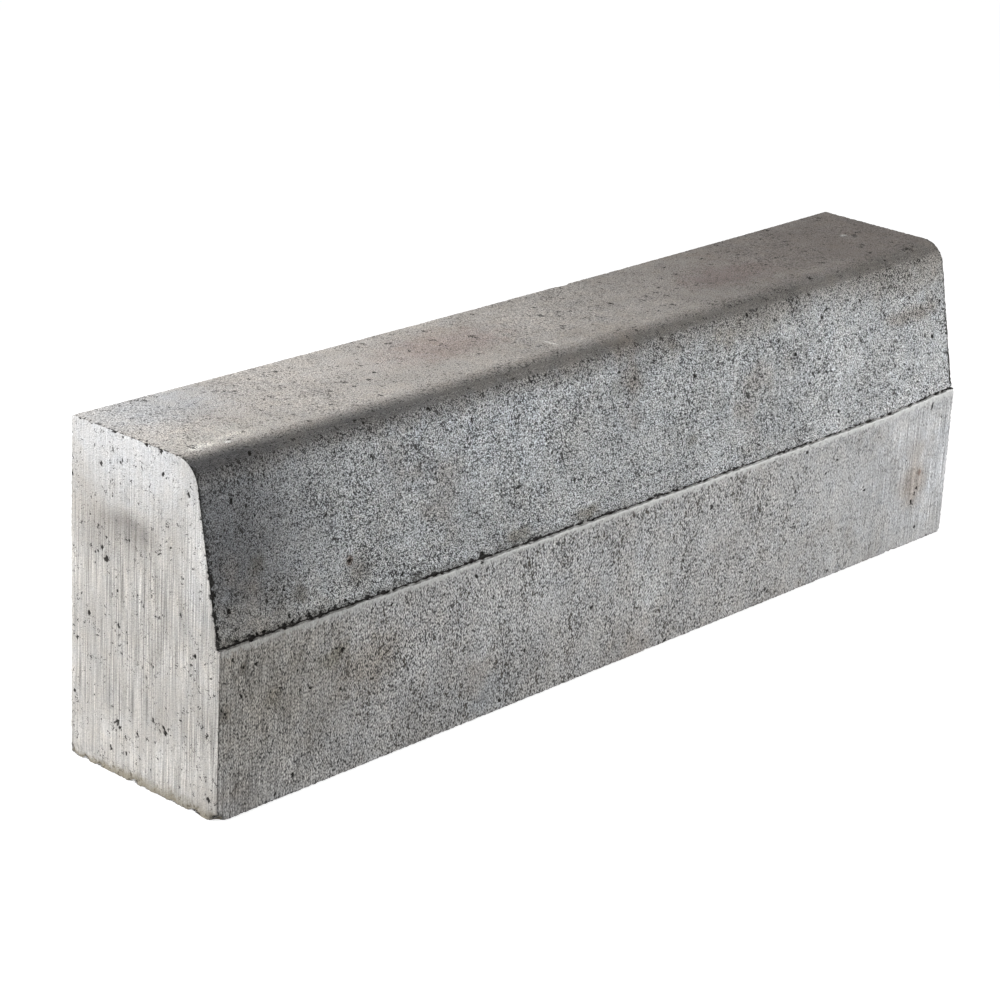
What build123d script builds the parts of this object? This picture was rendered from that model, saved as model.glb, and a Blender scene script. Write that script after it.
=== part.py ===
"""Battered road kerb stone, machine-pressed in concrete as one solid block.

The block stands on its flat bed with its length along X. The road side faces -Y: a plumb lower face, a narrow step
where the press shoe ended, an open seam at the foot of the batter, the battered upper face and a rounded nose that
runs into the level top. The origin is at the middle of the bed.
"""

from build123d import *
import os

# Overall block
length = 1000.0
base_width = 180.0
height = 300.0

# Road side: plumb lower face, step, batter and nose
lower_face_height = 153.0
lip_radius = 1.2
step_width = 2.5
batter_run = 30.0
nose_radius = 25.0

# Open seam where the press shoe met the mould wall
seam_depth = 3.0
seam_height = 2.0

# Worn edges
back_arris_radius = 3.0
bed_arris_radius = 2.0
end_arris_radius = 1.5

# How far the seam's cutter runs past both ends
cutter_overrun = 5.0

# Outline points that follow from those sizes, as (across, up)
front = -base_width / 2
back = base_width / 2
bed_front = (front, 0)
bed_back = (back, 0)
top_back = (back, height)
lip = (front, lower_face_height)
batter_foot = (front + step_width, lower_face_height)
nose_corner = (batter_foot[0] + batter_run, height)

# Across for each unit up on the battered face
batter_slope = batter_run / (height - lower_face_height)


def rounded(section, point, radius):
    """The section with the corner at an outline point rounded."""
    corner = section.vertices().sort_by_distance((*point, 0))[0]
    return fillet(corner, radius=radius)


def drawn_out(section, overrun=0):
    """A section drawn out along X to the block's length and an overrun at each end."""
    start = Plane.YZ.offset(-length / 2 - overrun)
    return extrude(start * section, amount=length + 2 * overrun)


def kerb_section():
    """The block's cross-section, with its long edges rounded."""
    section = make_face(Polyline(bed_front, lip, batter_foot, nose_corner, top_back, bed_back, close=True))
    section = rounded(section, nose_corner, nose_radius)
    section = rounded(section, lip, lip_radius)
    section = rounded(section, top_back, back_arris_radius)
    section = rounded(section, bed_back, bed_arris_radius)
    return rounded(section, bed_front, bed_arris_radius)


def seam_section():
    """The seam's cross-section: a wedge that opens on the batter just above the step and narrows into the block."""
    mouth_top = (batter_foot[0] + batter_slope * seam_height, lower_face_height + seam_height)
    tip = (batter_foot[0] + seam_depth, lower_face_height)
    return make_face(Polyline(batter_foot, tip, mouth_top, close=True))


def kerb_stone():
    """The block with both ends' edges worn round, and the seam cut along its whole length."""
    block = drawn_out(kerb_section())
    faces_along = block.faces().sort_by(Axis.X)
    end_edges = faces_along[0].edges() + faces_along[-1].edges()
    block = fillet(end_edges, radius=end_arris_radius)
    return block - drawn_out(seam_section(), cutter_overrun)


os.makedirs("parts", exist_ok=True)
export_step(kerb_stone(), "parts/kerb_stone.step")
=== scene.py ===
# %% [markdown]
# # A concrete kerb stone
#
# A kerb is pressed out of stiff, earth-dry concrete in a steel mould, stands on its bed while it hardens,
# and is then carted about with loaders, so its looks come from three things: the mould, the sand in the mix
# and rough handling. This file builds one such kerb over its measured solid. The solid gives the sizes and
# the frame, and everything here is in metres, with the length along X, the road side at -Y and the bed on
# the floor, at zero height.

# %% The measured solid
import math
from functools import partial
from types import SimpleNamespace
import bpy
import numpy as np
from mathutils import Matrix, Vector


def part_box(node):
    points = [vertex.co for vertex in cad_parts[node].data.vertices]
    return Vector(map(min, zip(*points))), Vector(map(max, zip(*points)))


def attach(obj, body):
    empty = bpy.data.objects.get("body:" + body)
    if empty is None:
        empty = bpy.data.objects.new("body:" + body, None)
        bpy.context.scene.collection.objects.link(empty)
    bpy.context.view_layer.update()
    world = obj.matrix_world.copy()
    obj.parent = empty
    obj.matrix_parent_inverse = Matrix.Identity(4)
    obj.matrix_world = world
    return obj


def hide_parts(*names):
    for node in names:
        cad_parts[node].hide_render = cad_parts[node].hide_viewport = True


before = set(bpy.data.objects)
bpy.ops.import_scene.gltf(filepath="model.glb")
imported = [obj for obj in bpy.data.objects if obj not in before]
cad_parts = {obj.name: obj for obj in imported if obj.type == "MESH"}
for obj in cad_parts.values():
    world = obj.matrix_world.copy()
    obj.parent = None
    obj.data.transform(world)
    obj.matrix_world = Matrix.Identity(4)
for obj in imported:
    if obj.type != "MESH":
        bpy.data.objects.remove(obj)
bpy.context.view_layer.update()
low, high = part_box("kerb_stone")
length, base_width, height = high - low
print(f"solid: {length:.3f} long, {base_width:.3f} wide, {height:.3f} high")

# %% [markdown]
# ## Writing node trees
#
# Geometry and material trees are both long lists of nodes. One helper adds a node, sets its options, feeds
# its sockets and hands back one output, so that a tree reads from top to bottom like a recipe. A feed is
# either a plain value or the output of an earlier node. A long recipe is cut into steps, each a function of
# its own, and what the steps share is laid out on a bench that every step is handed.

# %% A short way to write nodes
def node(tree, kind, feeds=None, out=0, **options):
    """Adds a node and returns one of its outputs."""
    made = tree.nodes.new(kind)
    for name, value in options.items():
        setattr(made, name, value)
    for key, value in (feeds or {}).items():
        if isinstance(value, bpy.types.NodeSocket):
            tree.links.new(value, made.inputs[key])
        else:
            made.inputs[key].default_value = value
    return made.outputs[out]


def math_node(tree, operation, *values, clamp=False):
    """A Math node fed with values in order."""
    return node(tree, "ShaderNodeMath", dict(enumerate(values)), operation=operation, use_clamp=clamp)


def vector_node(tree, operation, *values, out=0):
    """A Vector Math node fed with values in order."""
    return node(tree, "ShaderNodeVectorMath", dict(enumerate(values)), out=out, operation=operation)


def scaled(tree, vector, factor):
    """A vector or a colour times one factor, which may pass 1."""
    return node(tree, "ShaderNodeVectorMath", {0: vector, "Scale": factor}, operation="SCALE")


def ramp_between(tree, value, start, end, low=0.0, high=1.0, kind="SMOOTHSTEP"):
    """A value eased from low to high while it goes from start to end, and held outside them."""
    feeds = {"Value": value, "From Min": start, "From Max": end, "To Min": low, "To Max": high}
    return node(tree, "ShaderNodeMapRange", feeds, interpolation_type=kind, clamp=True)


def mixed_value(tree, factor, a, b):
    """Two values mixed by a factor."""
    return node(tree, "ShaderNodeMix", {0: factor, 2: a, 3: b})


# %% Whole trees and what they are put on
def new_tree(name, kind, inputs, outputs):
    """A node tree with named inputs and outputs. Each input is (name, socket type, first value)."""
    tree = bpy.data.node_groups.new(name, kind)
    for label, socket, value in inputs:
        made = tree.interface.new_socket(label, in_out="INPUT", socket_type="NodeSocket" + socket)
        if value is not None:
            made.default_value = value
    for label, socket in outputs:
        tree.interface.new_socket(label, in_out="OUTPUT", socket_type="NodeSocket" + socket)
    return tree, tree.nodes.new("NodeGroupInput").outputs, tree.nodes.new("NodeGroupOutput").inputs


def bench_for(tree, **shared):
    """What the steps of one tree's recipe share, under one name."""
    return SimpleNamespace(tree=tree, take=partial(math_node, tree), ramp=partial(ramp_between, tree),
                           mix=partial(mixed_value, tree), **shared)


def put_on(piece, tree, **values):
    """Adds a Geometry Nodes modifier, with its inputs set by their sockets' identifiers."""
    modifier = piece.modifiers.new(tree.name, "NODES")
    modifier.node_group = tree
    sockets = {s.name: s.identifier for s in tree.interface.items_tree if s.in_out == "INPUT"}
    for name, value in values.items():
        modifier[sockets[name.replace("_", " ")]] = value


def made_plain(piece):
    """Replaces a piece's mesh by what its modifiers make of it."""
    bpy.context.view_layer.update()
    seen = piece.evaluated_get(bpy.context.evaluated_depsgraph_get())
    shaped = bpy.data.meshes.new_from_object(seen)
    shaped.name = piece.name
    piece.modifiers.clear()
    piece.data = shaped


def stored(tree, geometry, name, value, kind="FLOAT"):
    """Geometry with one more attribute kept in it."""
    feeds = {"Geometry": geometry, "Name": name, "Value": value}
    return node(tree, "GeometryNodeStoreNamedAttribute", feeds, data_type=kind)


def finished(tree, geometry, material):
    """Geometry as a tree hands it over: with its instances realized and its material set."""
    geometry = node(tree, "GeometryNodeRealizeInstances", {"Geometry": geometry})
    return node(tree, "GeometryNodeSetMaterial", {"Geometry": geometry, "Material": material})

# %% [markdown]
# ## The block's form
#
# The block has one section all the way along, so its form follows a rule: take the section, draw it along
# the length, and close both ends. Instead of a sweep with two flat caps, one long sheet is wrapped round the
# section and gathered in at each end to a line in the middle of the end face, as a parcel is wrapped. That
# gives small, even faces everywhere, the ends too, and relief needs those.
#
# The section starts and ends at the tip of the seam. Its rows crowd there, because the seam and the lip
# under it hold the finest shapes, and its columns crowd at the two ends for the worn arrises.

# %% Sizes of the section
lower_face_height = 0.1509
step_width = 0.0025
batter_run = 0.030
nose_radius = 0.025
seam_depth = 0.003
seam_height = 0.0007
lip_radius = 0.0009
mouth_radius = 0.0003
back_arris_radius = 0.003
bed_arris_radius = 0.002
end_arris_radius = 0.0009

rows, columns = 820, 1010
print(f"seam at {lower_face_height * 1000:.1f} mm, sheet of {rows} by {columns} points")


# %% A line with rounded corners
def place(tree, x, y):
    """A point of a flat line."""
    return node(tree, "ShaderNodeCombineXYZ", {"X": x, "Y": y})


def corner_line(tree, corners, arc_points=24):
    """An open line through the given corners, each a (place, radius)."""
    at = node(tree, "GeometryNodeInputIndex")
    line = node(tree, "GeometryNodeMeshLine", {"Count": len(corners)})
    line = node(tree, "GeometryNodeMeshToCurve", {"Mesh": line})
    spot = node(tree, "GeometryNodeIndexSwitch", data_type="VECTOR")
    radius = node(tree, "GeometryNodeIndexSwitch", data_type="FLOAT")
    for switch, values in zip((spot.node, radius.node), zip(*corners)):
        for _ in range(len(corners) - 2):
            switch.index_switch_items.new()
        tree.links.new(at, switch.inputs["Index"])
        for number, value in enumerate(values):
            if isinstance(value, bpy.types.NodeSocket):
                tree.links.new(value, switch.inputs[number + 1])
            else:
                switch.inputs[number + 1].default_value = value
    line = node(tree, "GeometryNodeSetPosition", {"Geometry": line, "Position": spot})
    feeds = {"Curve": line, "Count": arc_points, "Radius": radius}
    return node(tree, "GeometryNodeFilletCurve", feeds, mode="POLY")


# %% The section's line and the run's line
def section_line(f):
    """From the tip of the seam up the batter, round the block and back to the tip."""
    given, ledge, top = f.given, f.given["Lower Face Height"], f.given["Height"]
    slope = f.take("DIVIDE", given["Batter Run"], f.take("SUBTRACT", top, ledge))
    mouth = f.take("ADD", f.foot, f.take("MULTIPLY", slope, given["Seam Height"]))
    tip = place(f.tree, f.take("ADD", f.foot, given["Seam Depth"]), ledge)
    return corner_line(f.tree, [
        (tip, 0.0),
        (place(f.tree, mouth, f.take("ADD", ledge, given["Seam Height"])), given["Mouth Radius"]),
        (place(f.tree, f.take("ADD", f.foot, given["Batter Run"]), top), given["Nose Radius"]),
        (place(f.tree, f.back, top), given["Back Arris Radius"]),
        (place(f.tree, f.back, 0.0), given["Bed Arris Radius"]),
        (place(f.tree, f.front, 0.0), given["Bed Arris Radius"]),
        (place(f.tree, f.front, ledge), given["Lip Radius"]),
        (tip, 0.0),
    ])


def run_line(f):
    """From the middle of the left end out to its arris, along the block and in again on the right end."""
    arris = f.given["End Arris Radius"]
    return corner_line(f.tree, [
        (place(f.tree, f.left, f.back), 0.0), (place(f.tree, f.left, 0.0), arris),
        (place(f.tree, f.right, 0.0), arris), (place(f.tree, f.right, f.back), 0.0),
    ])


# %% Where rows and columns crowd
row_crowding = 0.72
column_end_share = 0.07
column_easing_share = 0.7


def crowded_rows(f, even):
    """Even steps slowed towards the seam by a sine wave, and lengthened on the far side."""
    wave = f.take("SINE", f.take("MULTIPLY", even, math.tau))
    return f.take("MULTIPLY_ADD", wave, -row_crowding / math.tau, even)


def crowded_columns(f, even):
    """Even steps slowed towards both arrises: each stretch is part even steps and part eased ones."""
    end_way = f.take("DIVIDE", f.back, f.take("ADD", f.given["Length"], f.given["Width"]))
    middle_way = f.take("SUBTRACT", 1.0, f.take("MULTIPLY", end_way, 2.0))
    far = 1 - column_end_share
    along = 0.0
    for start, end, way in ((0.0, column_end_share, end_way), (column_end_share, far, middle_way),
                            (far, 1.0, end_way)):
        for kind, part in (("LINEAR", 1 - column_easing_share), ("SMOOTHSTEP", column_easing_share)):
            along = f.take("ADD", along, f.ramp(even, start, end, 0.0, f.take("MULTIPLY", way, part), kind))
    return along


# %% Wrapping the sheet
# The line that an end's points are drawn in to lies a little lower than they do, in even steps
spine_drop = 0.006
spine_step = 0.004


def point_on(tree, line, factor):
    """The point at a share of a line's length."""
    point = node(tree, "GeometryNodeSampleCurve", {"Curves": line, "Factor": factor}, out="Position",
                 mode="FACTOR", data_type="FLOAT")
    return node(tree, "ShaderNodeSeparateXYZ", {0: point}).node.outputs


def wrapped_place(f):
    """Where each point of the sheet goes: round the section, and on the ends in towards the spine."""
    inward = f.take("DIVIDE", f.reach["Y"], f.back)
    spine = f.take("MAXIMUM", f.take("ADD", f.outline["Y"], -spine_drop), f.back)
    spine = f.take("MINIMUM", spine, f.take("SUBTRACT", f.given["Height"], f.back))
    spine = f.take("SNAP", spine, spine_step)
    y = f.take("MULTIPLY", f.outline["X"], f.take("SUBTRACT", 1.0, inward))
    z = f.mix(inward, f.outline["Y"], spine)
    return node(f.tree, "ShaderNodeCombineXYZ", {"X": f.reach["X"], "Y": y, "Z": z})


def gaps(f):
    """How far each point is from the nearest arris, and from the seam."""
    flat, ledge = place(f.tree, f.outline["X"], f.outline["Y"]), f.given["Lower Face Height"]
    arris = f.take("SUBTRACT", f.right, f.take("ABSOLUTE", f.reach["X"]))
    for x, y in ((f.back, f.given["Height"]), (f.back, 0.0), (f.front, 0.0), (f.front, ledge)):
        apart = vector_node(f.tree, "DISTANCE", flat, place(f.tree, x, y), out="Value")
        arris = f.take("MINIMUM", arris, apart)
    seam = vector_node(f.tree, "DISTANCE", flat, place(f.tree, f.foot, ledge), out="Value")
    return [f.take("ADD", gap, f.reach["Y"]) for gap in (arris, seam)]


# %% The tree that wraps it
# Points nearer than this are one point: the sheet's own two edges, and where the ends are gathered in
weld_distance = 0.0000002


def form_tree():
    tree, given, result = new_tree("kerb_form", "GeometryNodeTree", [
        ("Geometry", "Geometry", None),
        ("Length", "Float", 1.0), ("Width", "Float", 0.18), ("Height", "Float", 0.3),
        ("Lower Face Height", "Float", 0.153), ("Step Width", "Float", 0.0025), ("Batter Run", "Float", 0.03),
        ("Seam Depth", "Float", 0.003), ("Seam Height", "Float", 0.002), ("Nose Radius", "Float", 0.025),
        ("Mouth Radius", "Float", 0.0006), ("Lip Radius", "Float", 0.0012),
        ("Back Arris Radius", "Float", 0.003), ("Bed Arris Radius", "Float", 0.002),
        ("End Arris Radius", "Float", 0.0015), ("Rows", "Int", 400), ("Columns", "Int", 500),
        ("Finish", "Material", None),
    ], [("Geometry", "Geometry")])
    f = bench_for(tree, given=given)
    f.front, f.back = [f.take("MULTIPLY", given["Width"], half) for half in (-0.5, 0.5)]
    f.left, f.right = [f.take("MULTIPLY", given["Length"], half) for half in (-0.5, 0.5)]
    f.foot = f.take("ADD", f.front, given["Step Width"])

    sheet = node(tree, "GeometryNodeMeshGrid", {"Size X": 1.0, "Size Y": 1.0,
                                                "Vertices X": given["Columns"], "Vertices Y": given["Rows"]})
    spot = node(tree, "ShaderNodeSeparateXYZ", {0: node(tree, "GeometryNodeInputPosition")}).node.outputs
    around = crowded_rows(f, f.take("ADD", spot["Y"], 0.5))
    section = section_line(f)
    f.outline = point_on(tree, section, around)
    f.reach = point_on(tree, run_line(f), crowded_columns(f, f.take("ADD", spot["X"], 0.5)))

    # The wear and the finish read each point's distance from the arrises and the seam, and its place in the
    # mould.
    arris_gap, seam_gap = gaps(f)
    girth = node(tree, "GeometryNodeCurveLength", {"Curve": section})
    wrapped = wrapped_place(f)
    sheet = stored(tree, sheet, "arris_gap", arris_gap)
    sheet = stored(tree, sheet, "seam_gap", seam_gap)
    sheet = stored(tree, sheet, "way_round", f.take("MULTIPLY", around, girth))
    sheet = stored(tree, sheet, "mould_place", wrapped, "FLOAT_VECTOR")
    sheet = node(tree, "GeometryNodeSetPosition", {"Geometry": sheet, "Position": wrapped})
    sheet = node(tree, "GeometryNodeMergeByDistance", {"Geometry": sheet, "Distance": weld_distance})
    tree.links.new(finished(tree, sheet, given["Finish"]), result["Geometry"])
    return tree


# %% Form the block
concrete = bpy.data.materials.new("kerb_concrete")
concrete.use_nodes = True
kerb = bpy.data.objects.new("kerb", bpy.data.meshes.new("kerb"))
bpy.context.scene.collection.objects.link(kerb)
put_on(kerb, form_tree(), Length=length, Width=base_width, Height=height, Lower_Face_Height=lower_face_height,
       Step_Width=step_width, Batter_Run=batter_run, Seam_Depth=seam_depth, Seam_Height=seam_height,
       Nose_Radius=nose_radius, Mouth_Radius=mouth_radius, Lip_Radius=lip_radius,
       Back_Arris_Radius=back_arris_radius, Bed_Arris_Radius=bed_arris_radius,
       End_Arris_Radius=end_arris_radius, Rows=rows, Columns=columns, Finish=concrete)
made_plain(kerb)
print("form:", len(kerb.data.vertices), "vertices,", len(kerb.data.polygons), "faces")

# %% [markdown]
# ## Wear, the ragged seam and the pits
#
# Stiff concrete is never quite filled: air is left between the sand grains and the steel, and shows as pits
# once the mould comes off. The seam is where the press shoe met the mould wall, so crumbs tear out of its
# upper side. Arrises lose grains each time the block is set down. All three are relief, so they are cut into
# the mesh itself.
#
# Cuts go inwards, and nothing may pass the block's sizes, which keeps it inside its solid's box. The pits
# are points scattered over the skin by density, with clusters, plus a list of the larger marks of this very
# block. Each vertex looks up its nearest point and sinks by a bowl-shaped rule of the distance to it.

# %% Marks of this block
# On the near end: (y, z, radius, depth, how much taller than wide), in millimetres
end_marks = [
    (26.7, 278, 1.0, 2.0, 4.2), (26.2, 274.8, 1.2, 2.0, 1.0), (-21.6, 280, 1.4, 2.0, 1.6),
    (-25.1, 275.8, 1.2, 1.6, 1.0), (-26.5, 280.7, 1.0, 1.4, 1.2), (-2.4, 285, 1.0, 1.2, 1.0),
    (-50.1, 262.2, 1.1, 1.4, 1.0), (47.7, 253, 1.0, 1.2, 1.0), (51.7, 249, 1.0, 1.2, 1.0),
    (45.4, 207, 1.9, 2.4, 0.8), (35.2, 205, 1.4, 1.6, 1.0), (18.1, 211.7, 1.7, 2.0, 0.9),
    (60.1, 189.9, 1.6, 2.6, 0.8), (57.0, 192, 1.8, 3.0, 0.9), (54.0, 194.8, 1.9, 3.2, 0.9),
    (51.4, 197.4, 1.8, 2.8, 1.0), (46.3, 187.6, 2.5, 3.2, 0.9), (-30.5, 220.4, 1.3, 1.4, 1.0),
    (-5.5, 207.1, 1.2, 1.4, 1.0), (-61.4, 138.1, 2.2, 2.8, 1.1), (-9.9, 112.3, 1.7, 2.0, 1.3),
    (26.7, 111.2, 1.4, 1.6, 1.0), (-47, 121.4, 1.5, 1.8, 1.0), (-80.7, 124.1, 1.4, 1.6, 1.0),
    (31.3, 48.4, 2.5, 2.8, 1.4), (36.9, 41, 1.6, 2.0, 1.2), (28.0, 44, 1.5, 2.0, 1.2),
    (-12.7, 64.8, 1.8, 2.2, 1.3), (-24.8, 63.5, 1.8, 2.4, 1.5), (-27.3, 59.0, 2.0, 2.6, 2.0),
    (-51.1, 65, 1.5, 1.8, 1.0), (39.2, 23, 1.6, 2.0, 2.2), (-15.4, 46.8, 1.4, 1.6, 1.0),
    (66.5, 134, 2.2, 2.8, 1.3), (-78.8, 18.6, 2.0, 2.4, 1.2), (-44.6, 17.2, 1.4, 1.6, 1.4),
    (79.5, 300, 1.7, 2.0, 1.0), (65.7, 300, 2.0, 2.4, 1.0), (38.0, 300, 2.4, 3.0, 1.0),
    (-0.3, 299.6, 2.2, 2.8, 1.2), (-17.9, 298.6, 2.2, 3.2, 1.8), (-26.1, 299, 1.6, 2.0, 1.0),
    (-35.3, 299.5, 1.6, 2.0, 1.0), (89.0, 262, 2.6, 2.2, 1.0), (89.0, 249, 2.0, 1.6, 1.0),
    (89.5, 283, 2.2, 1.6, 1.2),
]
end_marks = [(-500, *mark) for mark in end_marks]
# Elsewhere: (x, y, z, radius, depth, how much taller than wide)
road_marks = [
    (-453, -66.5, 256, 1.8, 2.0, 1.4), (-445, -68.5, 246, 2.0, 2.2, 1.2), (-349, -80.6, 186.6, 2.6, 2.4, 1.0),
    (-421, -86.2, 159.6, 2.0, 2.2, 1.2), (-443, -82.8, 176, 1.8, 2.0, 1.0), (-142, -61, 283, 2.2, 2.0, 1.0),
    (-239, -58, 289, 2.4, 2.4, 0.8), (-392, -63.6, 270, 1.8, 2.0, 1.2), (-430, -62.7, 274, 1.6, 1.8, 1.0),
    (-311, -64.8, 264, 1.6, 2.2, 2.4), (358, -63.9, 269, 2.0, 2.2, 1.0), (418, -73, 224, 2.0, 2.2, 1.0),
    (313, -83.8, 171, 1.8, 2.0, 1.4), (187, -59, 288, 2.4, 2.6, 0.8), (225, -62.4, 276, 2.2, 2.4, 1.0),
    (230, -66.8, 255, 1.8, 2.0, 1.0), (1, -63.2, 272, 2.2, 2.2, 1.0), (-156, -72.6, 226, 1.6, 1.8, 1.0),
    (-12, -82.7, 177, 1.8, 2.0, 1.2), (-474, -90, 130, 1.6, 1.8, 1.2), (-411, -90, 92, 1.5, 1.6, 1.4),
    (-433, -90, 99, 1.6, 1.8, 1.6), (-323, -90, 54, 1.8, 1.6, 1.2), (-493, -90, 95, 2.0, 1.8, 1.2),
    (-147, -90, 99.6, 1.8, 2.0, 1.0), (-136, -90, 49, 2.2, 2.0, 1.2), (359, -90, 80, 2.4, 2.2, 1.0),
    (356, -90, 84, 1.8, 1.8, 1.0), (445, -90, 70, 1.6, 1.6, 1.2), (376, -90, 131, 1.4, 1.4, 1.0),
    (-166, -90, 10, 2.2, 2.0, 1.0), (60, -90, 3, 2.6, 2.4, 1.0), (208, -90, 13, 1.8, 1.8, 1.0),
]
top_marks = [
    (-441, 85.6, 300, 1.8, 1.6, 1.0), (-448, 53, 300, 1.4, 1.4, 1.0), (-396, 33, 300, 1.5, 1.4, 1.0),
    (-316, 16.5, 300, 1.4, 1.2, 1.0), (-250, 48, 300, 1.5, 1.4, 1.0), (-160, 28.7, 300, 1.3, 1.2, 1.0),
    (-13, 22, 300, 1.4, 1.4, 1.0), (277, 29, 300, 1.4, 1.4, 1.0), (196, -40, 300, 1.6, 1.4, 1.0),
]
# Notches down the near arris of the batter: height, radius
notches = [(277, 1.2), (271, 1.5), (266, 1.0), (257, 1.2), (246, 1.6), (240, 1.0), (229, 1.3), (221, 1.2),
           (213, 2.4), (208, 3.0), (203, 1.6), (194, 3.0), (188, 1.8), (179, 2.8), (173, 2.0), (168, 2.4),
           (162, 2.6), (156, 3.4)]
arris_marks = [(-499.3, -87.5 + 0.204 * (z - 153), z, radius, radius * 1.1, 1.3) for z, radius in notches]
corner_marks = [(-500, -90, 0, 11.5, 6.0, 0.8), (500, -90, 1, 4.0, 2.0, 1.0), (500, -90, 150, 2.5, 1.5, 1.0)]
# Large crumbs torn out just above the seam, and one notch in its lip: x, height, radius
crumbs = [(-400, 153.8, 3.2), (-411, 153.4, 2.2), (-428, 152.2, 2.8), (-418, 154.8, 2.0), (-449, 153.4, 2.6),
          (-464, 151.6, 2.8), (-480, 152.6, 2.6), (-370, 153.4, 2.2), (-386, 153.2, 2.0), (-333, 152.8, 2.6),
          (-263, 152.4, 2.6), (-252, 151.8, 2.2), (-245, 151.4, 2.0), (-209, 152.8, 2.8), (-195, 154.8, 3.2),
          (-200, 157.4, 2.0), (-136, 152.0, 2.0), (207, 152.2, 1.8), (229, 152.0, 2.0), (197, 157.0, 1.4)]
seam_marks = [(x, -87.4, z, radius, radius * 0.9, 1.0) for x, z, radius in crumbs]
seam_marks += [(-197, -90, 149.0, 2.6, 2.0, 1.4), (-191, -90, 140.4, 1.6, 1.6, 1.4)]
to_metres = (1000, 1000, 1000, 1000, 1000, 1)
marks = np.array(end_marks + road_marks + top_marks + arris_marks + seam_marks + corner_marks) / to_metres
print("marks:", len(marks))


# %% What every kind of wear reads
def vector_parts(tree, vector):
    """The X, Y and Z of a vector."""
    return node(tree, "ShaderNodeSeparateXYZ", {0: vector}).node.outputs


def kept(tree, name, kind="FLOAT"):
    """An attribute that was kept in the mesh."""
    return node(tree, "GeometryNodeInputNamedAttribute", {"Name": name}, data_type=kind)


def wear_bench(tree, given):
    """The place, the resting normal, the gaps, and clouds of noise."""
    w = bench_for(tree, given=given, place=node(tree, "GeometryNodeInputPosition"))

    def cloud(scale, detail, shift, roughness=0.5):
        """Noise from 0 to 1, with its own seed for each use."""
        seed = w.take("ADD", given["Seed"], shift)
        feeds = {"W": seed, "Scale": scale, "Detail": detail, "Roughness": roughness}
        return node(tree, "ShaderNodeTexNoise", feeds, noise_dimensions="4D")

    w.cloud = cloud
    w.facing = kept(tree, "facing", "FLOAT_VECTOR")
    w.at, w.side = vector_parts(tree, w.place), vector_parts(tree, w.facing)
    w.arris_gap, w.seam_gap = kept(tree, "arris_gap"), kept(tree, "seam_gap")
    w.on_end = w.ramp(w.take("ABSOLUTE", w.side["X"]), 0.5, 0.8)
    w.along = w.take("DIVIDE", w.at["X"], given["Length"])
    w.ledge = given["Lower Face Height"]
    return w


# %% Worn arrises and the crumbling foot
def worn_arrises(w):
    """Depth along the arrises: a little everywhere, more where a cloud is dense, and now and then a chip."""
    near = w.ramp(w.arris_gap, 0.0, 0.0035, 1.0, 0.0)
    rough = w.take("MULTIPLY", near, w.ramp(w.cloud(330.0, 3.0, 1.0), 0.35, 0.75))
    worn = w.take("MULTIPLY", rough, w.given["Arris Wear"])
    chip_spots = w.ramp(w.cloud(42.0, 3.0, 2.0), 0.62, 0.72)
    near_chip = w.ramp(w.arris_gap, 0.0, 0.007, 1.0, 0.0)
    chipped = w.take("MULTIPLY", w.take("MULTIPLY", near_chip, chip_spots), w.given["Chip Depth"])
    return w.take("ADD", worn, chipped)


def crumbling_foot(w):
    """Where the paste at the foot of both ends slumped, and how far its underside is lifted off the floor."""
    lumps = w.cloud(60.0, 3.0, 12.0, roughness=0.6)
    slumped = w.take("MULTIPLY", w.on_end, w.ramp(w.at["Z"], 0.014, 0.003))
    slumped = w.take("MULTIPLY", slumped, w.ramp(lumps, 0.42, 0.66))
    lifted = w.take("MULTIPLY", w.ramp(w.at["Z"], 0.005, 0.0), w.ramp(lumps, 0.45, 0.65))
    starts, ends = [w.take("MULTIPLY_ADD", w.given["Length"], 0.5, -gap) for gap in (0.014, 0.002)]
    lifted = w.take("MULTIPLY", lifted, w.ramp(w.take("ABSOLUTE", w.at["X"]), starts, ends))
    return slumped, w.take("MULTIPLY", lifted, w.take("MULTIPLY", w.given["Foot Slump"], 0.8))


# %% Pits
def scattered_pits(w, skin):
    """Points over the skin, in clusters and fewer on top, each with a radius, a depth and a stretch."""
    clusters = w.ramp(w.cloud(24.0, 2.0, 5.0), 0.42, 0.66, 0.25, 2.6, "LINEAR")
    top_share = w.ramp(w.side["Z"], 0.6, 0.9, 1.0, 0.45)
    density = w.take("MULTIPLY", w.take("MULTIPLY", clusters, top_share), w.given["Pits Per Square Metre"])
    seed = w.given["Seed"]
    points = {"Mesh": skin, "Density": density, "Seed": seed}
    points = node(w.tree, "GeometryNodeDistributePointsOnFaces", points)
    chance = node(w.tree, "FunctionNodeRandomValue", {"Seed": seed}, out=1, data_type="FLOAT")
    radius = w.mix(w.take("POWER", chance, 2.5), w.given["Smallest Pit"], w.given["Largest Pit"])
    stretch = {2: 0.8, 3: 1.8, "Seed": w.take("ADD", seed, 1.0)}
    stretch = node(w.tree, "FunctionNodeRandomValue", stretch, out=1, data_type="FLOAT")
    points = stored(w.tree, points, "pit_radius", radius)
    points = stored(w.tree, points, "pit_depth", w.take("MULTIPLY", radius, 1.1))
    return stored(w.tree, points, "pit_tall", stretch)


def own_pits(w):
    """The points of this block's own marks."""
    own = node(w.tree, "GeometryNodeObjectInfo", {"Object": w.given["Marks"]}, out="Geometry")
    return node(w.tree, "GeometryNodeMeshToPoints", {"Mesh": own})


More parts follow.
